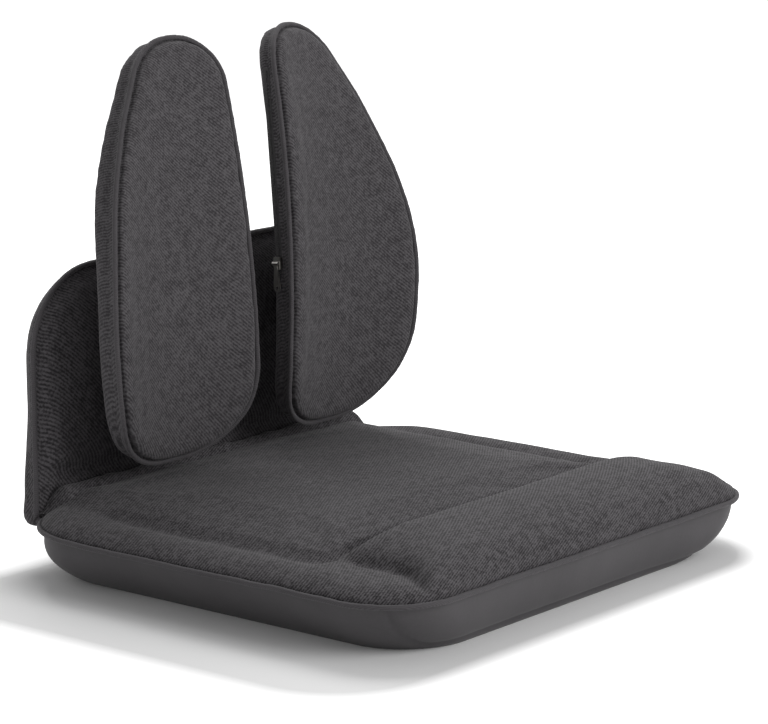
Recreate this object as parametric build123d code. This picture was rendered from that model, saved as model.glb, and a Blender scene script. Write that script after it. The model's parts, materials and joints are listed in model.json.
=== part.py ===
from build123d import *
from math import asin, atan2, cos, degrees, hypot, radians, sin
import os

# Legless folding floor chair: a low upholstered seat, a short back panel on a reclining hinge, and
# two upright pads on rubber swivels in front of the panel. Millimetres, +Z up, the front faces -Y,
# origin on the floor under the middle of the seat. Left is -X, right is +X; the halves are mirrored.

os.makedirs("parts", exist_ok=True)

# ---- driving dimensions -------------------------------------------------------------------------
# soft layers
FABRIC = 1.2                  # sewn cover
LAYER_GAP = 0.3               # cover to foam, and cover to cover at a seam
PIPING_DIAMETER = 4.4
PIPING_GAP = 0.15
SLOT_CLEARANCE = 1.0          # soft cut-outs round steel
WELD_GAP = 0.1                # tube to the plate it is welded to

# seat outline, inside the piping, and heights above the floor
SEAT_WIDTH = 481.0
SEAT_DEPTH = 401.0
SEAT_FRONT_RADIUS = 58.0
SEAT_REAR_RADIUS = 68.0
SEAM_HEIGHT = 46.0
FLANGE_HEIGHT = 58.0
CENTRE_HEIGHT = 67.0
ROLL_HEIGHT = 78.0

# lower hull of the seat
HULL_SIDE_INSET = 39.0
HULL_FRONT_INSET = 16.0
HULL_REAR_INSET = 12.0
HULL_FRONT_RADIUS = 62.0
HULL_REAR_RADIUS = 44.0
HULL_EDGE_RADIUS = 5.0

# raised forms of the seat top
FLANGE_EDGE_RADIUS = 10.0
CENTRE_WIDTH = 356.0
CENTRE_REAR_MARGIN = 13.0
CENTRE_CORNER_RADIUS = 36.0
CENTRE_EDGE_RADIUS = 7.5
ROLL_DEPTH = 116.0
ROLL_FRONT_MARGIN = 2.5
ROLL_SIDE_MARGIN = 19.0
ROLL_END_RADIUS = 17.0
CHANNEL_RADIUS = 5.0
CHANNEL_DEPTH = 2.5

# seat frame of bent tube
FRAME_TUBE = 16.0
TUBE_WALL = 1.5
FRAME_HEIGHT = 24.0
RAIL_SPACING = 364.0
FRAME_FRONT_MARGIN = 40.0
FRAME_REAR_MARGIN = 36.0
FRAME_BEND_RADIUS = 55.0
CROSS_TUBE = 12.0
CROSS_TUBE_PLACES = (-95.0, 0.0, 95.0)

# recliner hinge, one at each end of the panel's foot
HINGE_HEIGHT = 46.0
HINGE_CLEARANCE = 1.0         # seat's rear piping to the panel's rounded foot
FOOT_RADIUS = 12.0            # the panel's rounded foot turns about the hinge
PLATE = 3.0
PLATE_GAP = 0.3
PLATE_REACH = 88.0            # fixed plate forward of the hinge, along the rail
PLATE_HEIGHT = 15.0           # fixed plate where it is welded to the rail
ELBOW_RISE = 4.0              # the plate passes under the seat's piping, then turns up
ELBOW_RADIUS = 7.0
PIN_DIAMETER = 8.0
PIN_CLEARANCE = 0.05
PIN_HEAD_DIAMETER = 14.0
PIN_HEAD = 2.0
RATCHET_RADIUS = 9.5
RATCHET_PITCH = 15.0          # degrees
RATCHET_STEPS = 7
RATCHET_GULLET_RADIUS = 1.35
RATCHET_FIRST_ANGLE = -64.0   # from straight back, positive upwards
PAWL_ANGLE = 26.0
PAWL_TIP_RADIUS = 1.2
PAWL_CLEARANCE = 0.25
PAWL_PIVOT_RISE = 24.5
PAWL_PIVOT_RADIUS = 4.0
PAWL_PIN_DIAMETER = 4.0
ARM_TOP_RADIUS = 6.5
ARM_LENGTH = 58.0

# back panel
BACK_WIDTH = 394.0
BACK_TOP = 242.0
BACK_CORNER_RADIUS = 66.0
BACK_REAR_EDGE_RADIUS = 10.0
BACK_CROWN = 7.0
BACK_CROWN_MARGIN = 10.0
BACK_CROWN_EDGE_RADIUS = 5.0
BACK_CROWN_FOOT = 84.0
BACK_TUBE = 13.0
BACK_TUBE_FOOT = 64.0
BACK_TUBE_TOP_MARGIN = 26.0
BACK_TUBE_BEND_RADIUS = 46.0
SUPPORT_PLATE = 2.5
SUPPORT_PLATE_LOW = 152.0
SUPPORT_PLATE_HIGH = 212.0
SUPPORT_PLATE_HOLE = 30.0

# upright pads: outline corners measured across and up from the pad's own centre
PAD_SPACING = 210.0           # between the two pads' centres
PAD_CENTRE_HEIGHT = 238.0
PAD_SETBACK = 145.7           # of the pad's seam, behind the seat's middle
PAD_LEAN = 4.2                # degrees
PAD_INNER_FOOT = -84.6
PAD_INNER_TOP = -69.0
PAD_SHOULDER = 9.6
PAD_OUTER = 82.2
PAD_OUTER_HEIGHT = 14.5
PAD_TOP = 182.4
PAD_FOOT = -153.3
PAD_INNER_FOOT_RADIUS = 66.0
PAD_INNER_TOP_RADIUS = 38.0
PAD_SHOULDER_RADIUS = 56.0
PAD_OUTER_RADIUS = 250.0
PAD_OUTER_FOOT_RADIUS = 76.0
PAD_CUP_RADIUS = 215.0        # hollow across the pad, at its seam
PAD_BOW_RADIUS = 1293.0       # bowed forward up the pad, at its seam
PAD_FRONT = 8.0               # face ahead of the seam
PAD_BAND_SEAM = 7.0           # seam between front and rear covers, behind the piped seam
PAD_REAR = 17.0
PAD_FRONT_EDGE_RADIUS = 5.0
PAD_REAR_EDGE_RADIUS = 3.0
SHELL_WALL = 3.0
SHELL_RIM_MARGIN = 6.0
RIB_DEPTH = 3.2
RIB_WALL = 2.4
RIB_PLACES = (-120.0, -5.0, 40.0, 85.0, 130.0)
BOSS_DIAMETER = 11.0

# rubber swivel behind each pad
PIVOT_SETBACK = 20.0          # axis behind the pad's rear
PIVOT_DROP = 53.0             # below the pad's centre
BARREL_DIAMETER = 20.0
BARREL_BORE = 14.0
BARREL_LENGTH = 40.0
BUSH_FLANGE = 1.6
BUSH_FLANGE_DIAMETER = 17.0
BUSH_GAP = 0.2
SADDLE_PLATE = 2.5
SADDLE_WIDTH = 44.0
SADDLE_HEIGHT = 78.0
EAR_PLATE = 3.0
EAR_RADIUS = 9.0
STEM_PLATE = 4.0
STEM_HEIGHT = 34.0
SCREW_DIAMETER = 5.0
SCREW_HEAD_DIAMETER = 9.0
SCREW_HEAD = 2.4
SCREW_SPACING_ACROSS = 30.0
SCREW_SPACING_UP = 64.0

# zip on each pad's inner edge
ZIP_FOOT = 132.0              # up the inner edge, from the pad's foot
ZIP_LENGTH = 176.0
ZIP_SETBACK = -3.4
ZIP_TILT = 3.0                # degrees, follows the bow of the pad
TAPE_WIDTH = 7.0
TAPE_THICKNESS = 0.7
TEETH_WIDTH = 3.0
TEETH_THICKNESS = 0.9
SLIDER_LENGTH = 11.0
SLIDER_WIDTH = 7.4
SLIDER_THICKNESS = 3.2
SLIDER_START = 8.0            # lower end of the slider above the zip's foot
SLIDER_GAP = 0.2
BAIL_HEIGHT = 3.0
BAIL_WALL = 1.2
TAB_LENGTH = 24.0
TAB_WIDTH = 7.0
TAB_THICKNESS = 1.4
TAB_EYE_RADIUS = 1.2
TAB_PIN_DIAMETER = 1.4
TAB_PIN_CLEARANCE = 0.05

# rolled edge of the fabric gusset that bridges seat and back
GUSSET_LENGTH = 330.0
GUSSET_HEIGHT = 13.0

# ---- worked-out places --------------------------------------------------------------------------
SEAT_REAR = SEAT_DEPTH / 2
SEAT_FRONT = -SEAT_DEPTH / 2
SEAM_TOP = SEAM_HEIGHT + LAYER_GAP / 2
SEAM_FOOT = SEAM_HEIGHT - LAYER_GAP / 2
BACK_FACE = SEAT_REAR + PIPING_GAP + PIPING_DIAMETER + HINGE_CLEARANCE
HINGE_Y = BACK_FACE + FOOT_RADIUS
BACK_REAR = HINGE_Y + FOOT_RADIUS
RAIL_X = RAIL_SPACING / 2
RAIL_INNER = RAIL_X - FRAME_TUBE / 2
FIXED_PLATE_X = RAIL_INNER - WELD_GAP - PLATE
MOVING_PLATE_X = FIXED_PLATE_X - PLATE_GAP - PLATE
BACK_TUBE_X = MOVING_PLATE_X - WELD_GAP - BACK_TUBE / 2
FOAM_INSET = FABRIC + LAYER_GAP
SUPPORT_PLATE_Y = HINGE_Y + BACK_TUBE / 2 + WELD_GAP
PAWL_PIVOT = (HINGE_Y + PAWL_CLEARANCE * 6, HINGE_HEIGHT + PAWL_PIVOT_RISE)
PAD_PLACE = Pos(PAD_SPACING / 2, PAD_SETBACK, PAD_CENTRE_HEIGHT) * Rot(X=-PAD_LEAN)
BUSH_TILT = degrees(asin(PIVOT_DROP / PAD_BOW_RADIUS))
MOUNT_SAG = PIVOT_DROP**2 / (2 * PAD_BOW_RADIUS)
SADDLE_SEAT = LAYER_GAP + SADDLE_HEIGHT**2 / (8 * PAD_BOW_RADIUS)
MOUNT_PLACE = PAD_PLACE * Pos(0, PAD_REAR + MOUNT_SAG, -PIVOT_DROP) * Rot(X=BUSH_TILT)


def save(shape, name):
    """Write one named piece of the chair."""
    shape.label = name
    export_step(shape, f"parts/{name}.step")


def save_pair(right_piece, name):
    """Write a right-hand piece and its mirror image."""
    save(right_piece, f"{name}_right")
    save(mirror(right_piece, about=Plane.YZ), f"{name}_left")


def rounded_outline(points, radii):
    """A flat face through corner points, each corner rounded by its own radius."""
    face = make_face(Polyline(*points, close=True))
    for (px, py), radius in zip(points, radii):
        corner = sorted(face.vertices(), key=lambda v: (v.X - px) ** 2 + (v.Y - py) ** 2)[0]
        face = fillet(corner, radius)
    return face


def box_between(low, high):
    """A box between two opposite corners."""
    size = [b - a for a, b in zip(low, high)]
    middle = [(a + b) / 2 for a, b in zip(low, high)]
    return Pos(*middle) * Box(*size)


def both_sides(piece):
    """A right-hand cutter and its mirror image."""
    return [piece, mirror(piece, about=Plane.YZ)]


def rod(start, end, diameter):
    """A straight round bar."""
    line = Line(start, end)
    return sweep(Plane(origin=start, z_dir=line % 0) * Circle(diameter / 2), path=line)


def round_bar(path, diameter):
    """A round bar along a path of lines and arcs."""
    return sweep(Plane(origin=path @ 0, z_dir=path % 0) * Circle(diameter / 2), path=path)


def bent_tube(path, diameter):
    """A tube of TUBE_WALL along a path of lines and arcs."""
    return round_bar(path, diameter) - round_bar(path, diameter - 2 * TUBE_WALL)


def link_outline(start, start_radius, end, end_radius):
    """A flat tapered link: two circles and their common tangents."""
    length = hypot(end[0] - start[0], end[1] - start[1])
    aim = atan2(end[1] - start[1], end[0] - start[0])
    swing = radians(90) + asin((end_radius - start_radius) / length)
    corners = []
    for centre, radius in ((start, start_radius), (end, end_radius)):
        for side in (1, -1):
            angle = aim + side * swing
            corners.append((centre[0] + radius * cos(angle), centre[1] + radius * sin(angle)))
    web = make_face(Polyline(corners[0], corners[1], corners[3], corners[2], close=True))
    return web + Pos(*start) * Circle(start_radius) + Pos(*end) * Circle(end_radius)


def side_plate(outline, x, thickness):
    """A flat outline drawn in Y and Z, made into a plate from x outwards."""
    return extrude(Plane.YZ.offset(x) * outline, amount=thickness)


# ---- seat ---------------------------------------------------------------------------------------
def seat_plan(side, front, rear, front_radius, rear_radius):
    """The seat's outline seen from above, drawn in at the sides, front and rear."""
    x = SEAT_WIDTH / 2 - side
    low, high = SEAT_FRONT + front, SEAT_REAR - rear
    points = [(-x, low), (x, low), (x, high), (-x, high)]
    return rounded_outline(points, [front_radius, front_radius, rear_radius, rear_radius])


def hull_inset(run, inset, height):
    """How far a wall that slopes in by run from the seam to the floor lies in, at a height."""
    across = inset * hypot(run, SEAM_HEIGHT) / SEAM_HEIGHT
    return run * (1 - height / SEAM_HEIGHT) + across


def seat_hull(inset):
    """The lower half of the seat, from the piping down to the smaller base on the floor."""
    plans = []
    for height, front_radius, rear_radius in (
        (inset, HULL_FRONT_RADIUS, HULL_REAR_RADIUS),
        (SEAM_FOOT, SEAT_FRONT_RADIUS, SEAT_REAR_RADIUS),
    ):
        runs = (HULL_SIDE_INSET, HULL_FRONT_INSET, HULL_REAR_INSET)
        drawn_in = [hull_inset(run, inset, height) for run in runs]
        plans.append(Pos(0, 0, height) * seat_plan(*drawn_in, front_radius - inset, rear_radius - inset))
    hull = loft(plans, ruled=True)
    base_rim = hull.faces().sort_by(Axis.Z)[0].edges()
    return fillet(base_rim, HULL_EDGE_RADIUS - inset)


def seat_flange(inset):
    """The low border of the seat top, all the way round."""
    plan = seat_plan(inset, inset, inset, SEAT_FRONT_RADIUS - inset, SEAT_REAR_RADIUS - inset)
    flange = extrude(Pos(0, 0, SEAM_TOP) * plan, amount=FLANGE_HEIGHT - inset - SEAM_TOP)
    rim = flange.faces().sort_by(Axis.Z)[-1].edges()
    return fillet(rim, FLANGE_EDGE_RADIUS - inset)


def seat_centre(inset):
    """The raised middle of the seat top."""
    x = CENTRE_WIDTH / 2 - inset
    low, high = SEAT_FRONT + ROLL_DEPTH / 2, SEAT_REAR - CENTRE_REAR_MARGIN - inset
    points = [(-x, low), (x, low), (x, high), (-x, high)]
    corners = [CENTRE_EDGE_RADIUS, CENTRE_EDGE_RADIUS, CENTRE_CORNER_RADIUS, CENTRE_CORNER_RADIUS]
    plan = rounded_outline(points, corners)
    middle = extrude(Pos(0, 0, SEAM_TOP) * plan, amount=CENTRE_HEIGHT - inset - SEAM_TOP)
    rim = middle.faces().sort_by(Axis.Z)[-1].edges().filter_by(lambda e: (e @ 0.5).Y > low + 1)
    return fillet(rim, CENTRE_EDGE_RADIUS - inset)


def seat_roll(inset):
    """The thick roll under the knees: a steep front, a broad crown and a sharp rear crease."""
    front = SEAT_FRONT + ROLL_FRONT_MARGIN + inset
    crest = SEAT_FRONT + ROLL_DEPTH * 0.42
    crease = SEAT_FRONT + ROLL_DEPTH - inset
    top = ROLL_HEIGHT - inset
    shoulder = (front + ROLL_DEPTH / 5, top - 4.0)
    nose = ThreePointArc((front, SEAM_TOP), (front + 7.0, top - 15.0), shoulder)
    crown = ThreePointArc(shoulder, (crest, top), (crease, CENTRE_HEIGHT - 5.0))
    rear = Line(crown @ 1, (crease, SEAM_TOP))
    section = make_face([nose, crown, rear, Line((crease, SEAM_TOP), (front, SEAM_TOP))])
    roll = extrude(Plane.YZ * section, amount=SEAT_WIDTH / 2, both=True)
    side, corner = ROLL_SIDE_MARGIN + inset, SEAT_FRONT_RADIUS - ROLL_FRONT_MARGIN - inset
    plan = seat_plan(side, ROLL_FRONT_MARGIN + inset, 0, corner, CENTRE_CORNER_RADIUS)
    half = SEAT_WIDTH / 2 - side
    end_view = make_face(Polyline((-half, 0), (half, 0), (half, top), (-half, top), close=True))
    end_view = fillet(end_view.vertices().group_by(Axis.Y)[-1], ROLL_END_RADIUS - inset)
    ends = extrude(Plane.XZ * end_view, amount=SEAT_DEPTH, both=True)
    return roll & ends & extrude(Pos(0, 0, SEAM_TOP) * plan, amount=ROLL_HEIGHT)


def seat_channels(inset):
    """The sewn channels beside the raised middle, as round grooves."""
    x = CENTRE_WIDTH / 2 + CHANNEL_RADIUS / 2
    low, high = SEAT_FRONT + ROLL_DEPTH, SEAT_REAR - CENTRE_REAR_MARGIN - CENTRE_CORNER_RADIUS
    height = FLANGE_HEIGHT - inset + CHANNEL_RADIUS - CHANNEL_DEPTH
    return [rod((s * x, low, height), (s * x, high, height), 2 * CHANNEL_RADIUS) for s in (1, -1)]


def seat_top_form(inset):
    """The seat top as one swelling form, drawn in by an inset for the layers under the cover."""
    form = seat_flange(inset) - seat_channels(inset)
    return form + seat_centre(inset) + seat_roll(inset)


def plate_pockets():
    """Room in the soft seat for the fixed recliner plates."""
    low = (FIXED_PLATE_X - SLOT_CLEARANCE, HINGE_Y - PLATE_REACH - PLATE_HEIGHT / 2 - SLOT_CLEARANCE,
           FRAME_HEIGHT - PLATE_HEIGHT / 2 - SLOT_CLEARANCE)
    high = (RAIL_INNER + SLOT_CLEARANCE, HINGE_Y, HINGE_HEIGHT + RATCHET_RADIUS + SLOT_CLEARANCE)
    return both_sides(box_between(low, high))


def seat_frame_path():
    """The centre line of the frame: two rails joined by a bent front."""
    front = SEAT_FRONT + FRAME_FRONT_MARGIN
    rear = SEAT_REAR - FRAME_REAR_MARGIN
    corners = [(-RAIL_X, rear), (-RAIL_X, front), (RAIL_X, front), (RAIL_X, rear)]
    points = [(x, y, FRAME_HEIGHT) for x, y in corners]
    return FilletPolyline(*points, radius=FRAME_BEND_RADIUS)


def cross_tube_rods(diameter):
    """Straight bars between the rails."""
    reach = RAIL_INNER - WELD_GAP
    return [rod((-reach, y, FRAME_HEIGHT), (reach, y, FRAME_HEIGHT), diameter) for y in CROSS_TUBE_PLACES]


def build_seat_frame():
    """Bent steel frame with welded cross tubes."""
    save(bent_tube(seat_frame_path(), FRAME_TUBE), "seat_frame")
    bores = cross_tube_rods(CROSS_TUBE - 2 * TUBE_WALL)
    tubes = [bar - bore for bar, bore in zip(cross_tube_rods(CROSS_TUBE), bores)]
    save(Compound(children=tubes), "seat_cross_tubes")


def build_seat_foam():
    """One moulded foam block round the frame."""
    hull = seat_hull(FOAM_INSET)
    low = (-SEAT_WIDTH / 4, SEAT_FRONT / 2, SEAM_HEIGHT - 2)
    high = (SEAT_WIDTH / 4, SEAT_REAR / 2, SEAM_HEIGHT + 2)
    core = box_between(low, high)
    foam = seat_top_form(FOAM_INSET) + core + hull
    tunnel = round_bar(seat_frame_path(), FRAME_TUBE + 2 * LAYER_GAP)
    foam = foam - tunnel - cross_tube_rods(CROSS_TUBE + 2 * LAYER_GAP) - plate_pockets()
    save(foam, "seat_foam")


def build_seat_covers():
    """Stretched top cover, smooth lower cover and the piping between them."""
    top = seat_top_form(0) - seat_top_form(FABRIC) - plate_pockets()
    save(top, "seat_top_cover")
    lower = seat_hull(0) - seat_hull(FABRIC) - plate_pockets()
    save(lower, "seat_lower_cover")
    plan = seat_plan(0, 0, 0, SEAT_FRONT_RADIUS, SEAT_REAR_RADIUS)
    run = offset(plan, amount=PIPING_GAP + PIPING_DIAMETER / 2).face().outer_wire()
    save(round_bar(Pos(0, 0, SEAM_HEIGHT) * run, PIPING_DIAMETER), "seat_piping")


def build_gusset():
    """Rolled edge of the fabric gusset, lying on the seat's rear border in front of the back."""
    rear = HINGE_Y - FOOT_RADIUS - HINGE_CLEARANCE - PIPING_DIAMETER
    front = SEAT_REAR - CENTRE_REAR_MARGIN + LAYER_GAP
    depth = rear - front
    section = Pos((front + rear) / 2, FLANGE_HEIGHT + LAYER_GAP + GUSSET_HEIGHT / 2)
    section = section * RectangleRounded(depth, GUSSET_HEIGHT, depth / 2 - 0.1)
    roll = extrude(Plane.YZ * section, amount=GUSSET_LENGTH / 2, both=True)
    save(roll, "hinge_gusset")


# ---- recliner -----------------------------------------------------------------------------------
def build_recliners():
    """Toothed plate on the seat rail, arm on the back's tube, pin and pawl, at each end."""
    hinge = (HINGE_Y, HINGE_HEIGHT)
    bore = Pos(*hinge) * Circle(PIN_DIAMETER / 2 + PIN_CLEARANCE)
    elbow = (BACK_FACE, FRAME_HEIGHT + ELBOW_RISE)
    strip = link_outline((HINGE_Y - PLATE_REACH, FRAME_HEIGHT), PLATE_HEIGHT / 2, elbow, ELBOW_RADIUS)
    neck = link_outline(elbow, ELBOW_RADIUS, hinge, RATCHET_RADIUS - 2.0)
    disc = Pos(*hinge) * Circle(RATCHET_RADIUS)
    for step in range(RATCHET_STEPS):
        angle = radians(RATCHET_FIRST_ANGLE + step * RATCHET_PITCH)
        reach = RATCHET_RADIUS + RATCHET_GULLET_RADIUS / 3
        place = Pos(hinge[0] + reach * cos(angle), hinge[1] + reach * sin(angle))
        gullet = place * Circle(RATCHET_GULLET_RADIUS)
        disc = disc - gullet
    save_pair(side_plate(strip + neck + disc - bore, FIXED_PLATE_X, PLATE), "recliner_plate")

    pawl_bore = Pos(*PAWL_PIVOT) * Circle(PAWL_PIN_DIAMETER / 2 + WELD_GAP)
    arm = link_outline(hinge, RATCHET_RADIUS, (HINGE_Y, HINGE_HEIGHT + ARM_LENGTH), ARM_TOP_RADIUS)
    save_pair(side_plate(arm - bore - pawl_bore, MOVING_PLATE_X, PLATE), "recliner_arm")

    tip_reach = RATCHET_RADIUS + PAWL_CLEARANCE + PAWL_TIP_RADIUS
    lean = radians(PAWL_ANGLE)
    tip = (HINGE_Y + tip_reach * cos(lean), HINGE_HEIGHT + tip_reach * sin(lean))
    pawl = link_outline(PAWL_PIVOT, PAWL_PIVOT_RADIUS, tip, PAWL_TIP_RADIUS)
    pawl = pawl - Pos(*PAWL_PIVOT) * Circle(PAWL_PIN_DIAMETER / 2 + PIN_CLEARANCE)
    save_pair(side_plate(pawl, FIXED_PLATE_X, PLATE), "recliner_pawl")

    pin_start, pin_end = MOVING_PLATE_X - PLATE_GAP, FIXED_PLATE_X + PLATE + WELD_GAP / 2
    shank = rod((pin_start, *hinge), (pin_end, *hinge), PIN_DIAMETER)
    head = rod((pin_start - PIN_HEAD, *hinge), (pin_start, *hinge), PIN_HEAD_DIAMETER)
    save_pair(shank + head, "recliner_pin")

    stub_end = FIXED_PLATE_X + PLATE + PLATE_GAP
    stub = rod((MOVING_PLATE_X, *PAWL_PIVOT), (stub_end, *PAWL_PIVOT), PAWL_PIN_DIAMETER)
    cap = rod((stub_end, *PAWL_PIVOT), (stub_end + 1.5, *PAWL_PIVOT), 1.6 * PAWL_PIN_DIAMETER)
    save_pair(stub + cap, "pawl_pin")


# ---- back panel ---------------------------------------------------------------------------------
def back_form(inset):
    """The upholstered panel: a slab with a rounded foot and a crowned front."""
    x = BACK_WIDTH / 2 - inset
    top = BACK_TOP - inset
    face, rear = BACK_FACE + inset, BACK_REAR - inset
    corner = BACK_CORNER_RADIUS - inset
    points = [(-x, HINGE_HEIGHT), (x, HINGE_HEIGHT), (x, top), (-x, top)]
    outline = make_face(Polyline(*points, close=True))
    outline = fillet(outline.vertices().group_by(Axis.Y)[-1], corner)
    slab = extrude(Plane.XZ.offset(-face) * outline, amount=face - rear)
    rear_rim = slab.faces().sort_by(Axis.Y)[-1].edges().filter_by(lambda e: (e @ 0.5).Z > HINGE_HEIGHT + 1)
    slab = fillet(rear_rim, BACK_REAR_EDGE_RADIUS - inset)
    foot = rod((-x, HINGE_Y, HINGE_HEIGHT), (x, HINGE_Y, HINGE_HEIGHT), 2 * (FOOT_RADIUS - inset))

    in_x, in_top = x - BACK_CROWN_MARGIN, top - BACK_CROWN_MARGIN
    low = BACK_CROWN_FOOT + inset
    crown_points = [(-in_x, low), (in_x, low), (in_x, in_top), (-in_x, in_top)]
    edge = BACK_CROWN_MARGIN
    crown_plan = rounded_outline(crown_points, [edge, edge, corner - edge, corner - edge])
    crown = extrude(Plane.XZ.offset(BACK_CROWN - face) * crown_plan, amount=-2 * BACK_CROWN)
    front_rim = crown.faces().sort_by(Axis.Y)[0].edges()
    crown = fillet(front_rim, BACK_CROWN_EDGE_RADIUS - inset)
    return slab + foot + crown


def back_cuts():
    """Room in the panel's soft layers for the hinge plates and for the pads' stems."""
    inner = MOVING_PLATE_X - PLATE_GAP - PIN_HEAD - SLOT_CLEARANCE
    outer = RAIL_INNER + PIN_HEAD + SLOT_CLEARANCE
    notch_top = PAWL_PIVOT[1] + PAWL_PIVOT_RADIUS + SLOT_CLEARANCE
    notch = box_between((inner, BACK_FACE - 2 * BACK_CROWN, 0), (outer, BACK_REAR + 2, notch_top))
    stem_hole = stem_bar(STEM_PLATE + 2 * SLOT_CLEARANCE, STEM_HEIGHT + 2 * SLOT_CLEARANCE)
    return both_sides(notch) + both_sides(stem_hole)


def back_tube_path():
    """The centre line of the panel's bent tube: up, across the top and down."""
    top = BACK_TOP - BACK_TUBE_TOP_MARGIN
    foot = BACK_TUBE_FOOT
    corners = [(-BACK_TUBE_X, foot), (-BACK_TUBE_X, top), (BACK_TUBE_X, top), (BACK_TUBE_X, foot)]
    points = [(x, HINGE_Y, z) for x, z in corners]
    return FilletPolyline(*points, radius=BACK_TUBE_BEND_RADIUS)


def stem_bar(thickness, height):
    """An upright plate from a pad's swivel barrel back to the panel's support plate."""
    reach = SUPPORT_PLATE_Y - PAD_SETBACK
    middle = PIVOT_SETBACK + BARREL_BORE / 2 + reach / 2
    bar = MOUNT_PLACE * Pos(0, middle, 0) * Box(thickness, reach, height)
    behind = box_between((0, SUPPORT_PLATE_Y, 0), (BACK_WIDTH, 2 * SUPPORT_PLATE_Y, BACK_TOP * 2))
    return bar - behind


def build_back_frame():
    """Bent tube and the pressed plate across it that carries the pads."""
    save(bent_tube(back_tube_path(), BACK_TUBE), "back_frame")
    half = BACK_TUBE_X + BACK_TUBE / 2
    middle = (SUPPORT_PLATE_LOW + SUPPORT_PLATE_HIGH) / 2
    height = SUPPORT_PLATE_HIGH - SUPPORT_PLATE_LOW
    outline = Pos(0, middle) * RectangleRounded(2 * half, height, 8)
    for place in (-0.5, 0.0, 0.5):
        hole = SlotOverall(SUPPORT_PLATE_HOLE, SUPPORT_PLATE_HOLE / 2)
        outline = outline - Pos(place * PAD_SPACING / 2, middle) * hole
    save(extrude(Plane.XZ.offset(-SUPPORT_PLATE_Y) * outline, amount=-SUPPORT_PLATE), "pad_support_plate")


def build_back_soft():
    """Foam, front cover, rear cover with its band, and the piping round the face."""
    split = BACK_FACE + PIPING_DIAMETER / 2
    wide = BACK_WIDTH
    in_front = box_between((-wide, 0, 0), (wide, split - LAYER_GAP / 2, 2 * BACK_TOP))
    behind = box_between((-wide, split + LAYER_GAP / 2, 0), (wide, 2 * BACK_REAR, 2 * BACK_TOP))
    skin = back_form(0) - back_form(FABRIC) - back_cuts()
    save(skin & in_front, "back_front_cover")
    save(skin & behind, "back_rear_cover")

    tube_room = round_bar(back_tube_path(), BACK_TUBE + 2 * LAYER_GAP)
    arm_room = box_between(
        (MOVING_PLATE_X - LAYER_GAP, HINGE_Y - RATCHET_RADIUS - LAYER_GAP, HINGE_HEIGHT),
        (FIXED_PLATE_X, HINGE_Y + RATCHET_RADIUS + LAYER_GAP,
         HINGE_HEIGHT + ARM_LENGTH + ARM_TOP_RADIUS + LAYER_GAP))
    plate_room = box_between(
        (-BACK_TUBE_X - BACK_TUBE / 2 - LAYER_GAP, SUPPORT_PLATE_Y - LAYER_GAP,
         SUPPORT_PLATE_LOW - LAYER_GAP),
        (BACK_TUBE_X + BACK_TUBE / 2 + LAYER_GAP, BACK_REAR, SUPPORT_PLATE_HIGH + LAYER_GAP))
    foam = back_form(FOAM_INSET) - tube_room - both_sides(arm_room) - plate_room - back_cuts()
    save(foam, "back_foam")

    x = BACK_WIDTH / 2 + PIPING_GAP + PIPING_DIAMETER / 2
    top = BACK_TOP + PIPING_GAP + PIPING_DIAMETER / 2
    y = BACK_FACE + PIPING_DIAMETER / 2
    corners = [(-x, y, HINGE_HEIGHT), (-x, y, top), (x, y, top), (x, y, HINGE_HEIGHT)]
    run = FilletPolyline(*corners, radius=BACK_CORNER_RADIUS + PIPING_GAP + PIPING_DIAMETER / 2)
    save(round_bar(run, PIPING_DIAMETER), "back_piping")


# ---- upright pads -------------------------------------------------------------------------------
def pad_outline():
    """The right pad's outline: straight inner edge, round top, sloping shoulder, full foot."""
    points = [
        (PAD_INNER_FOOT, PAD_FOOT),
        (PAD_INNER_TOP, PAD_TOP),
        (PAD_SHOULDER, PAD_TOP),
        (PAD_OUTER, PAD_OUTER_HEIGHT),
        (PAD_OUTER, PAD_FOOT),
    ]
    radii = [
        PAD_INNER_FOOT_RADIUS,
        PAD_INNER_TOP_RADIUS,
        PAD_SHOULDER_RADIUS,
        PAD_OUTER_RADIUS,
        PAD_OUTER_FOOT_RADIUS,
    ]
    return rounded_outline(points, radii)


def pad_column(growth):
    """The pad's outline, grown or drawn in, run from far in front to far behind."""
    outline = pad_outline()
    outline = offset(outline, amount=growth) if growth else outline
    return extrude(Plane.XZ * outline, amount=3 * PAD_REAR, both=True)


def pad_layer(front, rear):
    """The curved sheet between two depths: hollow across the pad and bowed forward up it."""
    spread = 2 * degrees(asin(1.2 * PAD_OUTER / PAD_CUP_RADIUS))
    start = 90 - spread / 2
    centre = (0, -PAD_CUP_RADIUS)
    near = CenterArc(centre, PAD_CUP_RADIUS + front, start, spread)
    far = CenterArc(centre, PAD_CUP_RADIUS + rear, start, spread)
    section = make_face([near, far, Line(near @ 0, far @ 0), Line(near @ 1, far @ 1)])
    bow_axis = Axis((0, PAD_BOW_RADIUS, 0), (1, 0, 0))
    swing = 1.1 * degrees(asin(PAD_TOP / PAD_BOW_RADIUS))
    return revolve(section.rotate(bow_axis, -swing), axis=bow_axis, revolution_arc=2 * swing)


def pad_depth(point):
    """How far behind the seam surface a point lies."""
    level = PAD_BOW_RADIUS - hypot(point.Y - PAD_BOW_RADIUS, point.Z)
    return hypot(point.X, level + PAD_CUP_RADIUS) - PAD_CUP_RADIUS


def edges_at_depth(solid, depth):
    """The edges that lie at one depth of the pad."""
    return solid.edges().filter_by(lambda e: abs(pad_depth(e @ 0.5) - depth) < 0.1)


def pad_form(inset):
    """The whole upholstered pad, drawn in by an inset for the layers under the cover."""
    front, rear = inset - PAD_FRONT, PAD_REAR - inset
    form = pad_column(-inset) & pad_layer(front, rear)
    form = fillet(edges_at_depth(form, front), PAD_FRONT_EDGE_RADIUS - inset)
    return fillet(edges_at_depth(form, rear), PAD_REAR_EDGE_RADIUS - inset)


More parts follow.
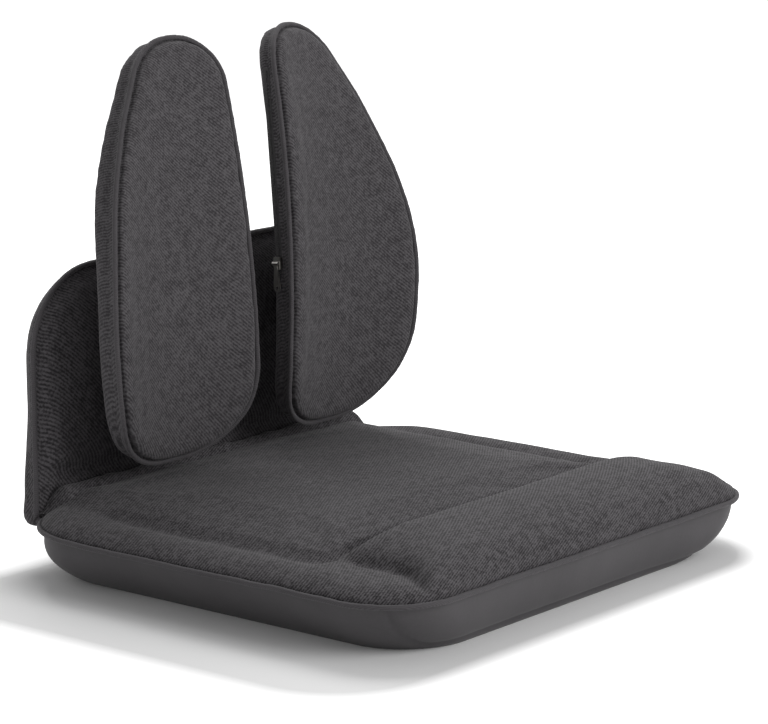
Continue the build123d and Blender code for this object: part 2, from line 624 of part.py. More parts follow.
def screw_places():
    """The four saddle screws, across and up from the swivel."""
    return [(sx * SCREW_SPACING_ACROSS / 2, sz * SCREW_SPACING_UP / 2) for sx in (-1, 1) for sz in (-1, 1)]


def saddle_rod(x, z, start, end, diameter):
    """A round bar square to the saddle plate, placed in the right pad's own axes."""
    place = Pos(0, PAD_REAR + MOUNT_SAG, -PIVOT_DROP) * Rot(X=BUSH_TILT)
    return place * rod((x, start, z), (x, end, z), diameter)


def build_pads():
    """Ribbed shell, foam, two covers and piping for each pad."""
    bore = SCREW_DIAMETER + 2 * PIN_CLEARANCE
    screw_holes = [saddle_rod(x, z, -PAD_REAR, PAD_REAR, bore) for x, z in screw_places()]
    shell_rear = PAD_REAR - FABRIC - LAYER_GAP
    wall_rear = shell_rear - RIB_DEPTH
    wall_front = wall_rear - SHELL_WALL
    column = pad_column(-SHELL_RIM_MARGIN)
    shell = column & pad_layer(wall_front, wall_rear)
    rib_sheet = column & pad_layer(wall_rear - 0.5, shell_rear)
    ribs = [Pos(0, 0, z) * Box(4 * PAD_OUTER, 4 * PAD_REAR, RIB_WALL) for z in RIB_PLACES]
    spine = Pos(0, 0, (PAD_TOP + PAD_FOOT) / 2) * Box(RIB_WALL, 4 * PAD_REAR, PAD_TOP - PAD_FOOT)
    bosses = [saddle_rod(x, z, -PAD_REAR, PAD_REAR, BOSS_DIAMETER) for x, z in screw_places()]
    pattern = spine + ribs + bosses
    shell = shell + (rib_sheet & pattern) - screw_holes
    save_pair(PAD_PLACE * shell, "pad_shell")

    foam = pad_column(-FOAM_INSET) & pad_layer(FOAM_INSET - PAD_FRONT, wall_front - LAYER_GAP)
    foam = fillet(edges_at_depth(foam, FOAM_INSET - PAD_FRONT), PAD_FRONT_EDGE_RADIUS - FOAM_INSET)
    save_pair(PAD_PLACE * foam, "pad_foam")

    skin = pad_form(0) - pad_form(FABRIC)
    front_cover = skin & pad_layer(-2 * PAD_FRONT, PAD_BAND_SEAM - LAYER_GAP / 2)
    rear_cover = (skin & pad_layer(PAD_BAND_SEAM + LAYER_GAP / 2, 2 * PAD_REAR)) - screw_holes
    save_pair(PAD_PLACE * front_cover, "pad_front_cover")
    save_pair(PAD_PLACE * rear_cover, "pad_rear_cover")

    half = PIPING_DIAMETER / 2
    ring = (pad_column(PIPING_GAP + PIPING_DIAMETER) - pad_column(PIPING_GAP)) & pad_layer(-half, half)
    rims = edges_at_depth(ring, -half) + edges_at_depth(ring, half)
    save_pair(PAD_PLACE * fillet(rims, 0.85 * half), "pad_piping")


def build_swivels():
    """Saddle with two ears on the pad, pin, rubber bushes, and barrel on the panel's stem."""
    axis_y = PIVOT_SETBACK
    ear_low = BARREL_LENGTH / 2 + BUSH_FLANGE + BUSH_GAP
    plate = Pos(0, SADDLE_SEAT + SADDLE_PLATE / 2, 0) * Box(SADDLE_WIDTH, SADDLE_PLATE, SADDLE_HEIGHT)
    plate = fillet(plate.edges().filter_by(Axis.Y), 6)
    ear_run = axis_y - SADDLE_SEAT
    ear = Pos(0, SADDLE_SEAT + ear_run / 2) * Rectangle(2 * EAR_RADIUS, ear_run)
    ear = ear + Pos(0, axis_y) * Circle(EAR_RADIUS)
    ear = ear - Pos(0, axis_y) * Circle(PIN_DIAMETER / 2 + WELD_GAP)
    ears = [Pos(0, 0, z) * extrude(ear, amount=EAR_PLATE) for z in (ear_low, -ear_low - EAR_PLATE)]
    hole = SCREW_DIAMETER + 2 * WELD_GAP
    holes = [rod((x, 0, z), (x, 2 * SADDLE_PLATE, z), hole) for x, z in screw_places()]
    save_pair(MOUNT_PLACE * (plate + ears - holes), "swivel_saddle")

    outer_rear = SADDLE_SEAT + SADDLE_PLATE
    screws = []
    for x, z in screw_places():
        shank = rod((x, -RIB_DEPTH - SHELL_WALL, z), (x, outer_rear, z), SCREW_DIAMETER)
        head = rod((x, outer_rear, z), (x, outer_rear + SCREW_HEAD, z), SCREW_HEAD_DIAMETER)
        screws.append(MOUNT_PLACE * (shank + head))
    save_pair(Compound(children=screws), "saddle_screws")

    pin_half = ear_low + EAR_PLATE
    pin = rod((0, axis_y, -pin_half), (0, axis_y, pin_half), PIN_DIAMETER)
    for side in (-1, 1):
        end = side * pin_half
        pin += rod((0, axis_y, end), (0, axis_y, end + side * PIN_HEAD), PIN_HEAD_DIAMETER - 1)
    save_pair(MOUNT_PLACE * pin, "swivel_pin")

    half = BARREL_LENGTH / 2
    barrel = rod((0, axis_y, -half), (0, axis_y, half), BARREL_DIAMETER)
    bore = rod((0, axis_y, -half), (0, axis_y, half), BARREL_BORE)
    stem = stem_bar(STEM_PLATE, STEM_HEIGHT)
    save_pair(MOUNT_PLACE * barrel + stem - MOUNT_PLACE * bore, "swivel_barrel")

    bushes = []
    for side in (-1, 1):
        body = rod((0, axis_y, side), (0, axis_y, side * half), BARREL_BORE - 2 * PIN_CLEARANCE)
        face, lip = side * half, side * (half + BUSH_FLANGE)
        flange = rod((0, axis_y, face), (0, axis_y, lip), BUSH_FLANGE_DIAMETER)
        hole = rod((0, axis_y, 0), (0, axis_y, side * 2 * half), PIN_DIAMETER + 2 * PIN_CLEARANCE)
        bushes.append(MOUNT_PLACE * (body + flange - hole))
    save_pair(Compound(children=bushes), "swivel_bushes")


# ---- zips ---------------------------------------------------------------------------------------
def zip_place():
    """Axes at the zip's foot: X up the zip, Y rearwards, Z out from the pad's inner edge."""
    lean = atan2(PAD_INNER_TOP - PAD_INNER_FOOT, PAD_TOP - PAD_FOOT)
    start = (PAD_INNER_FOOT + ZIP_FOOT * sin(lean), ZIP_SETBACK, PAD_FOOT + ZIP_FOOT * cos(lean))
    tilt = radians(ZIP_TILT)
    along = (sin(lean) * cos(tilt), sin(tilt), cos(lean) * cos(tilt))
    return PAD_PLACE * Plane(origin=start, x_dir=along, z_dir=(-cos(lean), 0, sin(lean))).location


def build_zips():
    """Tape with teeth, slider with its bail, and the hanging leaf-shaped pull tab."""
    place = zip_place()
    tape_low = WELD_GAP
    teeth_low = tape_low + TAPE_THICKNESS
    teeth_top = teeth_low + TEETH_THICKNESS
    tape = box_between((0, -TAPE_WIDTH / 2, tape_low), (ZIP_LENGTH, TAPE_WIDTH / 2, teeth_low))
    teeth = box_between((0, -TEETH_WIDTH / 2, teeth_low), (ZIP_LENGTH, TEETH_WIDTH / 2, teeth_top))
    save_pair(place * (tape + teeth), "pad_zip")

    low, top = teeth_low + SLIDER_GAP, teeth_low + SLIDER_GAP + SLIDER_THICKNESS
    start, end = SLIDER_START, SLIDER_START + SLIDER_LENGTH
    body = box_between((start, -SLIDER_WIDTH / 2, low), (end, SLIDER_WIDTH / 2, top))
    body = fillet(body.edges().filter_by(Axis.Z), 1.8)
    channel_half = TEETH_WIDTH / 2 + SLIDER_GAP
    channel_top = teeth_top + SLIDER_GAP
    channel = box_between((start - 1, -channel_half, low - 1), (end + 1, channel_half, channel_top))
    middle = (start + end) / 2
    lug_inner = SLIDER_WIDTH / 2 - 0.6 - BAIL_WALL
    pin_height = top + BAIL_HEIGHT / 2
    lugs = []
    for side in (-1, 1):
        profile = Pos(middle, (top + pin_height) / 2 - 0.2) * Rectangle(BAIL_HEIGHT, pin_height - top + 0.4)
        profile = profile + Pos(middle, pin_height) * Circle(BAIL_HEIGHT / 2)
        plate = extrude(Plane.XZ * profile, amount=BAIL_WALL)
        lugs.append(Pos(0, lug_inner + BAIL_WALL if side > 0 else -lug_inner, 0) * plate)
    pin = rod((middle, -lug_inner, pin_height), (middle, lug_inner, pin_height), TAB_PIN_DIAMETER)
    save_pair(place * (body - channel + lugs + pin), "zip_slider")

    eye = (middle, 0)
    tail = (middle - TAB_LENGTH + TAB_WIDTH / 2, 0)
    leaf = link_outline(eye, TAB_EYE_RADIUS, tail, TAB_WIDTH / 2)
    leaf = leaf - Pos(*tail) * Circle(TAB_WIDTH / 5)
    low_face = pin_height - TAB_THICKNESS / 2
    tab = extrude(Pos(0, 0, low_face) * leaf, amount=TAB_THICKNESS)
    knuckle = rod((middle, SLIDER_GAP - lug_inner, pin_height), (middle, lug_inner - SLIDER_GAP, pin_height),
                  TAB_PIN_DIAMETER + 1.2)
    bore = rod((middle, -lug_inner, pin_height), (middle, lug_inner, pin_height),
               TAB_PIN_DIAMETER + 2 * TAB_PIN_CLEARANCE)
    save_pair(place * (tab + knuckle - bore), "zip_pull")


build_seat_frame()
build_seat_foam()
build_seat_covers()
build_gusset()
build_recliners()
build_back_frame()
build_back_soft()
build_pads()
build_swivels()
build_zips()
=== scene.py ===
import json
import math

import bmesh
import bpy
from mathutils import Matrix, Vector, noise
from mathutils.bvhtree import BVHTree


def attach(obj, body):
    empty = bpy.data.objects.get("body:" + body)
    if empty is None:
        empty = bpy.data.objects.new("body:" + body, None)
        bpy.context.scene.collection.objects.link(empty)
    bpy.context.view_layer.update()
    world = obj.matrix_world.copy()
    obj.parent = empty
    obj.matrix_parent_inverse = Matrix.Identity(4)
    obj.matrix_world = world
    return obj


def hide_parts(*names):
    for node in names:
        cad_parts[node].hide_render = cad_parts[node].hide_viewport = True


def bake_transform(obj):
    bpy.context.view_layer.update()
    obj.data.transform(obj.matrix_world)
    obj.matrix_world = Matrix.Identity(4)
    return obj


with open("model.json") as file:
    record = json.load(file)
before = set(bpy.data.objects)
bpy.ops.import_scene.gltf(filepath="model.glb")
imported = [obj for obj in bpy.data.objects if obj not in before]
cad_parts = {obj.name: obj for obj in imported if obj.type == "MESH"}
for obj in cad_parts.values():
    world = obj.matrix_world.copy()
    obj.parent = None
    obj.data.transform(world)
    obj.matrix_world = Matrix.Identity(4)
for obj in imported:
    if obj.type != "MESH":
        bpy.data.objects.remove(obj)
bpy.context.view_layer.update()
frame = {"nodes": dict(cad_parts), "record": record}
nodes = frame["nodes"]

# ---- seat top -------------------------------------------------------------------------------------
# One piece of stretch twill drawn over moulded foam: a flat middle, a thick roll under the knees with
# a sharp crease behind it, and a low border with a soft valley. Sewn to the base under a corded edge.
SEAT_HALF_WIDTH, SEAT_HALF_DEPTH = 240.5, 200.5
SEAT_CORNERS = {-1: 58.0, 1: 68.0}        # corner radius at the front (-1) and at the rear (1)
SEAM_HEIGHT = 46.0
BORDER_RISE, BORDER_SINK = 12.5, 3.0      # the border above the seam, and how far it sinks at +X
MIDDLE_RISE, MIDDLE_SIDE = 8.5, 200.0     # the flat middle above the border, and where its sides end
VALLEY_DEPTH, VALLEY_SIDE = 3.2, 198.0
ROLL_RISE, ROLL_REAR = 18.5, -86.0
ROLL_REACH = {-1: 176.0, 1: 212.0}        # where the roll ends on the -X side and on the +X side
FOLD_DEPTH, CREASE_DEPTH, CREASE_PLACE = 4.2, 3.4, -88.0
PAD_HOLLOW = 2.6                          # where the pads' feet would press
PUFF_FRAMES = 20                          # how long a cover is blown up for


class Wire:
    """A socket of a material; sums, products and powers of wires add Math nodes."""

    def __init__(self, tree, socket):
        self.tree, self.socket = tree, socket

    def node(self, kind, settings, sockets, output=0):
        made = self.tree.nodes.new(kind)
        for name, value in settings.items():
            setattr(made, name, value)
        for name, value in sockets.items():
            if isinstance(value, Wire):
                self.tree.links.new(value.socket, made.inputs[name])
            else:
                made.inputs[name].default_value = value
        return Wire(self.tree, made.outputs[output])

    def maths(self, operation, *values):
        return self.node("ShaderNodeMath", {"operation": operation}, dict(enumerate(values)))

    def vector_maths(self, operation, *values, output=0):
        return self.node("ShaderNodeVectorMath", {"operation": operation}, dict(enumerate(values)), output)

    def __add__(self, other):
        return self.maths("ADD", self, other)

    def __radd__(self, other):
        return self.maths("ADD", other, self)

    def __sub__(self, other):
        return self.maths("SUBTRACT", self, other)

    def __rsub__(self, other):
        return self.maths("SUBTRACT", other, self)

    def __mul__(self, other):
        return self.maths("MULTIPLY", self, other)

    def __rmul__(self, other):
        return self.maths("MULTIPLY", other, self)

    def wave(self, length):
        """A sine from 0 to 1 that repeats every length."""
        return self.maths("SINE", self * (math.tau / length)) * 0.5 + 0.5

    def grain(self, point, size, detail=2.0):
        """Noise from 0 to 1 whose blots are about size metres across."""
        sockets = {"Vector": point, "Scale": 0.5 / size, "Detail": detail}
        return self.node("ShaderNodeTexNoise", {}, sockets)

    def blend(self, factor, low, high):
        """A colour between two colours."""
        sockets = {0: factor, 6: (*low, 1), 7: (*high, 1)}
        return self.node("ShaderNodeMix", {"data_type": "RGBA"}, sockets, 2)


def new_material(name):
    """An empty Principled material: its first wire, its shader node and the point in object space."""
    material = bpy.data.materials.new(name)
    material.use_nodes = True
    tree = material.node_tree
    shader = tree.nodes["Principled BSDF"]
    wire = Wire(tree, None)
    point = wire.node("ShaderNodeTexCoord", {}, {}, "Object")
    return material, wire, shader, point


def join(wire, shader, **inputs):
    """Links or sets the shader's sockets, named with underscores for spaces."""
    for name, value in inputs.items():
        socket = shader.inputs[name.replace("_", " ")]
        if isinstance(value, Wire):
            wire.tree.links.new(value.socket, socket)
        else:
            socket.default_value = value


def twill(name, dark, light, rib, across, pitch=0.0026, relief=0.00024):
    """Woven cloth with ribs square to the direction rib, crossed by finer threads along across."""
    material, wire, shader, point = new_material(name)
    axes = wire.node("ShaderNodeSeparateXYZ", {}, {"Vector": point})
    x, y, z = (Wire(wire.tree, axes.socket.node.outputs[i]) for i in range(3))
    wander = wire.grain(point, 0.012) * 0.0009
    ribs = (x * rib[0] + y * rib[1] + z * rib[2] + wander).wave(pitch)
    threads = (x * across[0] + y * across[1] + z * across[2] + wander).wave(pitch * 0.52)
    fuzz = wire.grain(point, 0.0009, 3.0)
    slubs = wire.grain(point, 0.0032, 2.0)
    patches = wire.grain(point, 0.05, 3.0)
    weave = ribs * 0.3 + threads * 0.08 + fuzz * 1.0 + slubs * 0.5
    colour = wire.blend(weave * 2.6 + patches * 0.3 - 2.1, dark, light)
    height = ribs * 0.6 + threads * 0.15 + fuzz * 0.8 + slubs * 0.4
    bump = wire.node("ShaderNodeBump", {}, {"Strength": 0.9, "Distance": relief, "Height": height})
    join(wire, shader, Base_Color=colour, Roughness=0.86 + fuzz * 0.1, Normal=bump,
         Sheen_Weight=0.08, Sheen_Roughness=0.45, Specular_IOR_Level=0.22)
    return material


def ease(t):
    """A smooth step from 0 to 1."""
    t = min(max(t, 0.0), 1.0)
    return t * t * (3 - 2 * t)


def dome(distance, width):
    """A quarter round: 0 at the edge, 1 from width inwards."""
    return math.sqrt(max(0.0, 1 - (1 - min(distance, width) / width) ** 2))


def ridge(distance, width):
    """A soft ridge or groove, 1 at its middle."""
    return math.exp(-((distance / width) ** 2))


def seat_rim(x, y):
    """Distance in from the seat's seam, in mm, for a point in plan."""
    radius = SEAT_CORNERS[1 if y > 0 else -1]
    out_x, out_y = abs(x) - SEAT_HALF_WIDTH + radius, abs(y) - SEAT_HALF_DEPTH + radius
    if out_x > 0 and out_y > 0:
        return radius - math.hypot(out_x, out_y)
    return radius - max(out_x, out_y)


def rim_sag(x, y):
    """How far the sewn edge wanders up and down, in mm."""
    long_waves = noise.noise(Vector((x / 95, y / 95, 3.1)))
    short_waves = noise.noise(Vector((x / 24, y / 24, 8.0)))
    return 1.6 * long_waves + 0.5 * short_waves


def seat_height(x, y):
    """The seat top's height over a point in plan, in mm."""
    rim, side, end = seat_rim(x, y), abs(x), 1 if x > 0 else -1
    border = (BORDER_RISE - BORDER_SINK * ease((x - 150) / 45) * ease((y + 90) / 20)) * dome(rim, 24)
    middle = MIDDLE_RISE * ease((MIDDLE_SIDE - side) / 34) * ease((y + 90) / 14) * ease(rim / 15)
    crown = 1.2 * max(0.0, 1 - (x / 190) ** 2) * ease((y + 88) / 40)
    crown -= PAD_HOLLOW * ridge(y - 150, 40) * ease((190 - side) / 50)
    valley = VALLEY_DEPTH * ridge(side - VALLEY_SIDE, 11) * ease((150 - y) / 50) * ease((y + 100) / 20)
    reach = ROLL_REACH[end] + (24.0 * ease((-150 - y) / 50) if end < 0 else 0.0)
    ends = 0.65 * dome(max(0.0, reach - side), 32) + 0.35 * (1 - ease((side - reach + 62) / 55))
    front = ROLL_REAR - y
    slope = 0.35 * dome(max(0.0, front), 26) + 0.65 * ease(front / 24)
    roll = ROLL_RISE * ends * slope * dome(rim, 45)
    fold = FOLD_DEPTH * ridge(side - reach - 2, 10) * ease((-96 - y) / 16) * ease(rim / 18)
    crease = CREASE_DEPTH * ridge(y - CREASE_PLACE, 6.0) * ease((204 - side) / 24)
    creases = 0.7 * noise.noise(Vector((x / 34, y / 22, 1.7))) * ease(rim / 20)
    return SEAM_HEIGHT + border + middle + crown + roll + creases - valley - fold - crease


def seat_plan(u, v):
    """Maps a square from -1 to 1 to the seat's rounded outline, ring by ring."""
    ring = max(abs(u), abs(v))
    if ring < 1e-9:
        return 0.0, 0.0
    low, high = 0.0, 1.6
    for _ in range(30):
        middle = (low + high) / 2
        x, y = u / ring * middle * SEAT_HALF_WIDTH, v / ring * middle * SEAT_HALF_DEPTH
        inside = seat_rim(x, y) > 0
        low, high = (middle, high) if inside else (low, middle)
    return u * low * SEAT_HALF_WIDTH, v * low * SEAT_HALF_DEPTH


def finish_mesh(bm, name, material, smooth=True):
    """Makes the object of a finished bmesh, at the origin, with its material."""
    mesh = bpy.data.meshes.new(name)
    bm.to_mesh(mesh)
    bm.free()
    if smooth:
        mesh.shade_smooth()
    mesh.materials.append(material)
    piece = bpy.data.objects.new(name, mesh)
    bpy.context.scene.collection.objects.link(piece)
    return piece


def puff(piece, held, pressure, most):
    """Blows a closed cover up with cloth simulation; held(point) says where seams and foam hold it."""
    rest = [v.co.copy() for v in piece.data.vertices]
    pins = piece.vertex_groups.new(name="pins")
    for v in piece.data.vertices:
        pins.add([v.index], held(v.co), "REPLACE")
    cloth = piece.modifiers.new("Cloth", "CLOTH")
    cloth.settings.quality = 4
    cloth.settings.use_pressure = True
    cloth.settings.uniform_pressure_force = pressure
    cloth.settings.vertex_group_mass = "pins"
    cloth.settings.effector_weights.gravity = 0
    cloth.collision_settings.use_collision = False
    cloth.point_cache.frame_start, cloth.point_cache.frame_end = 1, PUFF_FRAMES
    for step in range(1, PUFF_FRAMES + 1):
        bpy.context.scene.frame_set(step)
    blown = piece.evaluated_get(bpy.context.evaluated_depsgraph_get()).to_mesh()
    moved = [v.co.copy() for v in blown.vertices]
    piece.modifiers.remove(cloth)
    piece.vertex_groups.clear()
    for v, old, new in zip(piece.data.vertices, rest, moved):
        step = new - old
        v.co = old + (step if step.length < most else step * (most / step.length))
    bpy.context.scene.frame_set(1)


def relax(bm, times):
    """Evens a mesh out, each point half way to the middle of its neighbours."""
    for _ in range(times):
        bmesh.ops.smooth_vert(bm, verts=bm.verts, factor=0.5,
                              use_axis_x=True, use_axis_y=True, use_axis_z=True)


def refine(piece, shape=None, settle=0):
    """Evens out and splits every face in four; shape(point, normal) may then move each point."""
    bm = bmesh.new()
    bm.from_mesh(piece.data)
    relax(bm, settle)
    bmesh.ops.subdivide_edges(bm, edges=bm.edges, cuts=1, use_grid_fill=True, smooth=0.6)
    bm.normal_update()
    if shape:
        moves = [shape(v.co, v.normal) for v in bm.verts]
        for v, move in zip(bm.verts, moves):
            v.co += move
    bm.to_mesh(piece.data)
    bm.free()
    piece.data.shade_smooth()


seat_cloth = twill("seat_twill", (0.021, 0.019, 0.021), (0.106, 0.100, 0.106),
                   (-0.51, 0.86, 0.86), (0.86, 0.51, -0.51), 0.0024)

bm = bmesh.new()
bmesh.ops.create_grid(bm, x_segments=118, y_segments=98, size=1.0)
for v in bm.verts:
    v.co.x, v.co.y = seat_plan(v.co.x, v.co.y)
    rim = seat_rim(v.co.x, v.co.y)
    v.co.z = seat_height(v.co.x, v.co.y) + rim_sag(v.co.x, v.co.y) * ridge(rim, 40)
    to_cord = 1 + 0.004 * ridge(rim, 5)
    v.co.x, v.co.y = v.co.x * to_cord, v.co.y * to_cord
rim_edges = [e for e in bm.edges if e.is_boundary]
under = bmesh.ops.extrude_edge_only(bm, edges=rim_edges)["geom"]
for v in (g for g in under if isinstance(g, bmesh.types.BMVert)):
    v.co = Vector((v.co.x * 0.985, v.co.y * 0.985, v.co.z - 1.5))
bmesh.ops.holes_fill(bm, edges=[e for e in bm.edges if e.is_boundary], sides=0)
bmesh.ops.scale(bm, vec=(0.001,) * 3, verts=bm.verts)
bmesh.ops.recalc_face_normals(bm, faces=bm.faces)
seat_top = finish_mesh(bm, "seat_top", seat_cloth)


def seat_seams(point):
    """The rim, the valley and the roll's crease are held; the panels between them may swell."""
    x, y = point.x * 1000, point.y * 1000
    if point.z < 0.047:
        return 1.0
    rim, crease = ease(1.6 - seat_rim(x, y) / 12), ridge(y + 89, 7)
    valley = ridge(abs(x) - 193, 9)
    return min(1.0, max(rim, crease, valley) + 0.02)


puff(seat_top, seat_seams, pressure=2.5, most=0.0025)
refine(seat_top)
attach(seat_top, "seat")
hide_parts("seat_top_cover", "seat_foam")

# ---- seat base ------------------------------------------------------------------------------------
# The lower shell of smooth close-woven cloth: it slants in from the corded edge to a flat underside.
# The front band laps over the wrap-around side band in a curved seam at each front corner.
BASE_HALF_WIDTH, BASE_FRONT, BASE_REAR = 201.5, 184.5, 188.5
BASE_CORNERS = {-1: 62.0, 1: 44.0}
FOOT_INSET, EDGE_CUTS = 3.5, 90           # the foot's inset, and the cuts in each straight side
WALL_SWELL, CORNER_SWELL = 4.2, 9.0       # how far foam fills the wall out, and what corners add
LAP_RISE, LAP_GROOVE = 1.2, 2.6           # the lapped seam at the front corners


def plain_cloth(name, dark, light):
    """Smooth close-woven cloth: hardly any weave, slight streaks of tension."""
    material, wire, shader, point = new_material(name)
    fine = wire.grain(point, 0.0012, 3.0)
    stretched = wire.node("ShaderNodeMapping", {}, {"Vector": point, "Scale": (1.0, 1.0, 0.22)})
    streaks = wire.grain(stretched, 0.014, 3.0)
    patches = wire.grain(point, 0.06, 2.0)
    colour = wire.blend(fine * 0.35 + streaks * 0.3 + patches * 0.4, dark, light)
    height = fine * 0.3 + streaks * 0.8
    bump = wire.node("ShaderNodeBump", {}, {"Strength": 0.5, "Distance": 0.0006, "Height": height})
    join(wire, shader, Base_Color=colour, Roughness=0.7 + fine * 0.12, Normal=bump,
         Sheen_Weight=0.1, Sheen_Roughness=0.4, Specular_IOR_Level=0.35)
    return material


def rounded_ring(bm, half_width, front, rear, corners, height, cuts):
    """A closed ring of edges round a rectangle with rounded corners, cut into short edges."""
    places = [(-half_width, -front), (half_width, -front), (half_width, rear), (-half_width, rear)]
    verts = [bm.verts.new((x, y, height)) for x, y in places]
    face = bm.faces.new(verts)
    for side in (-1, 1):
        end = rear if side > 0 else -front
        picked = [v for v in face.verts
                  if abs(abs(v.co.x) - half_width) < 0.01 and abs(v.co.y - end) < 0.01]
        bmesh.ops.bevel(bm, geom=picked, offset=corners[side], segments=26, profile=0.5,
                        affect="VERTICES", material=-1)
        face = [f for f in bm.faces if abs(f.calc_center_median().z - height) < 0.01][0]
    long_edges = [e for e in face.edges if e.calc_length() > 60]
    bmesh.ops.subdivide_edges(bm, edges=long_edges, cuts=cuts)
    face = [f for f in bm.faces if abs(f.calc_center_median().z - height) < 0.01][0]
    ring = list(face.edges)
    bmesh.ops.delete(bm, geom=[face], context="FACES_ONLY")
    return ring


def base_cover():
    """The slanting wall between the seam and the underside, and the underside itself."""
    bm = bmesh.new()
    seam = rounded_ring(bm, SEAT_HALF_WIDTH, SEAT_HALF_DEPTH, SEAT_HALF_DEPTH, SEAT_CORNERS,
                        SEAM_HEIGHT, EDGE_CUTS)
    foot = rounded_ring(bm, BASE_HALF_WIDTH - FOOT_INSET, BASE_FRONT - FOOT_INSET, BASE_REAR - FOOT_INSET,
                        {end: radius - FOOT_INSET for end, radius in BASE_CORNERS.items()}, 0.0, EDGE_CUTS)
    walls = bmesh.ops.bridge_loops(bm, edges=seam + foot)["faces"]
    rising = [e for f in walls for e in f.edges if abs(e.verts[0].co.z - e.verts[1].co.z) > 20]
    bmesh.ops.subdivide_edges(bm, edges=list(dict.fromkeys(rising)), cuts=23)
    for v in bm.verts:
        rise = v.co.z / SEAM_HEIGHT
        corner = ease((abs(v.co.x * v.co.y) - 14000) / 16000) * (1.0 if v.co.x * v.co.y < 0 else 0.35)
        out = (WALL_SWELL + CORNER_SWELL * corner) * math.sin(math.pi * min(rise * 1.1, 1.0)) ** 0.8
        out *= 1 - rise * 0.3
        ripple = noise.noise(Vector((v.co.x / 30, v.co.y / 30, rise * 0.7)))
        ripple *= 0.7 * math.sin(math.pi * rise)
        if v.co.y < 0:
            lap = (rise - 0.14 - 0.9 * min(max((abs(v.co.x) - 172) / 58, 0.0), 1.0) ** 1.6) * SEAM_HEIGHT
            ripple += LAP_RISE * ease(lap / 2.4 + 0.5) - LAP_GROOVE * ridge(lap, 1.7)
        away = Vector((v.co.x, v.co.y, 0)).normalized()
        v.co += away * ((out + ripple) * (0 < rise < 1))
        v.co.z += rim_sag(v.co.x, v.co.y) * rise
    bmesh.ops.holes_fill(bm, edges=[e for e in bm.edges if e.is_boundary], sides=0)
    bmesh.ops.scale(bm, vec=(0.001,) * 3, verts=bm.verts)
    bmesh.ops.recalc_face_normals(bm, faces=bm.faces)
    return bm


base_cloth = plain_cloth("base_cloth", (0.040, 0.037, 0.040), (0.100, 0.095, 0.100))
seat_base = finish_mesh(base_cover(), "seat_base", base_cloth)
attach(seat_base, "seat")
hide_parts("seat_lower_cover")

# ---- corded edges -----------------------------------------------------------------------------------
# Every seam is finished with a cord wrapped in a bias strip of the same cloth. The strip puckers a
# little round the cord, and the seat's edge wanders up and down where the cover pulls.
def bias_cloth(name, dark, light):
    """The narrow strip wrapped round the cords, cut slantwise, a little paler where it is worn."""
    material, wire, shader, point = new_material(name)
    axes = wire.node("ShaderNodeSeparateXYZ", {}, {"Vector": point})
    x, y, z = (Wire(wire.tree, axes.socket.node.outputs[i]) for i in range(3))
    threads = (x + y * 0.9 + z * 1.1).wave(0.0019)
    fuzz = wire.grain(point, 0.0012, 3.0)
    worn = wire.grain(point, 0.03, 2.0)
    colour = wire.blend(threads * 0.3 + fuzz * 0.4 + worn * 0.35, dark, light)
    sockets = {"Strength": 0.7, "Distance": 0.00018, "Height": threads + fuzz}
    bump = wire.node("ShaderNodeBump", {}, sockets)
    join(wire, shader, Base_Color=colour, Roughness=0.74 + fuzz * 0.12, Normal=bump,
         Sheen_Weight=0.12, Sheen_Roughness=0.4, Specular_IOR_Level=0.3)
    return material


cord_cloth = bias_cloth("cord_cloth", (0.030, 0.027, 0.030), (0.098, 0.092, 0.098))


def merged_copy(*names):
    """One bmesh of CAD nodes' meshes, their loose triangles merged."""
    bm = bmesh.new()
    for name in names:
        bm.from_mesh(nodes[name].data)
    bmesh.ops.remove_doubles(bm, verts=bm.verts, dist=1e-6)
    return bm


def remeshed(bm, voxel, smoothing):
    """An even quad skin over a bmesh, smoothed."""
    rough = finish_mesh(bm, "rough", seat_cloth)
    modifier = rough.modifiers.new("Remesh", "REMESH")
    modifier.mode, modifier.voxel_size, modifier.adaptivity = "VOXEL", voxel, 0.0
    even = rough.evaluated_get(bpy.context.evaluated_depsgraph_get()).to_mesh()
    skin = bmesh.new()
    skin.from_mesh(even)
    bpy.data.objects.remove(rough)
    relax(skin, smoothing)
    return skin


def corded_edge(node, name, body, follow=None):
    """The wrapped cord of one seam, over its CAD node, with the strip's small puckers."""
    skin = remeshed(merged_copy(node), 0.0011, 3)
    for v in skin.verts:
        pucker = noise.noise(v.co * 160) * 0.00022 + noise.noise(v.co * 520) * 0.00012
        v.co += v.normal * (0.00012 + pucker)
        if follow:
            v.co.z += follow(v.co.x * 1000, v.co.y * 1000) * 0.001
    piece = finish_mesh(skin, name, cord_cloth)
    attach(piece, body)
    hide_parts(node)
    return piece


corded_edge("seat_piping", "seat_cord", "seat", follow=rim_sag)
corded_edge("back_piping", "back_cord", "back")

# ---- back panel -------------------------------------------------------------------------------------
# A short upholstered panel on a bent tube frame: a crowned front, a corded edge, a band that rounds
# into the rear cover. The cloth is cut straight over the foam, so its ribs run down to the right.
back_cloth = twill("back_twill", (0.024, 0.022, 0.024), (0.110, 0.103, 0.110),
                   (0.71, 0.71, 0.71), (0.71, -0.71, -0.71))
BACK_FACE = 0.20605


def seam_tree(node):
    """Finds the nearest point of one corded edge."""
    bm = merged_copy(node)
    tree = BVHTree.FromBMesh(bm)
    bm.free()
    return tree


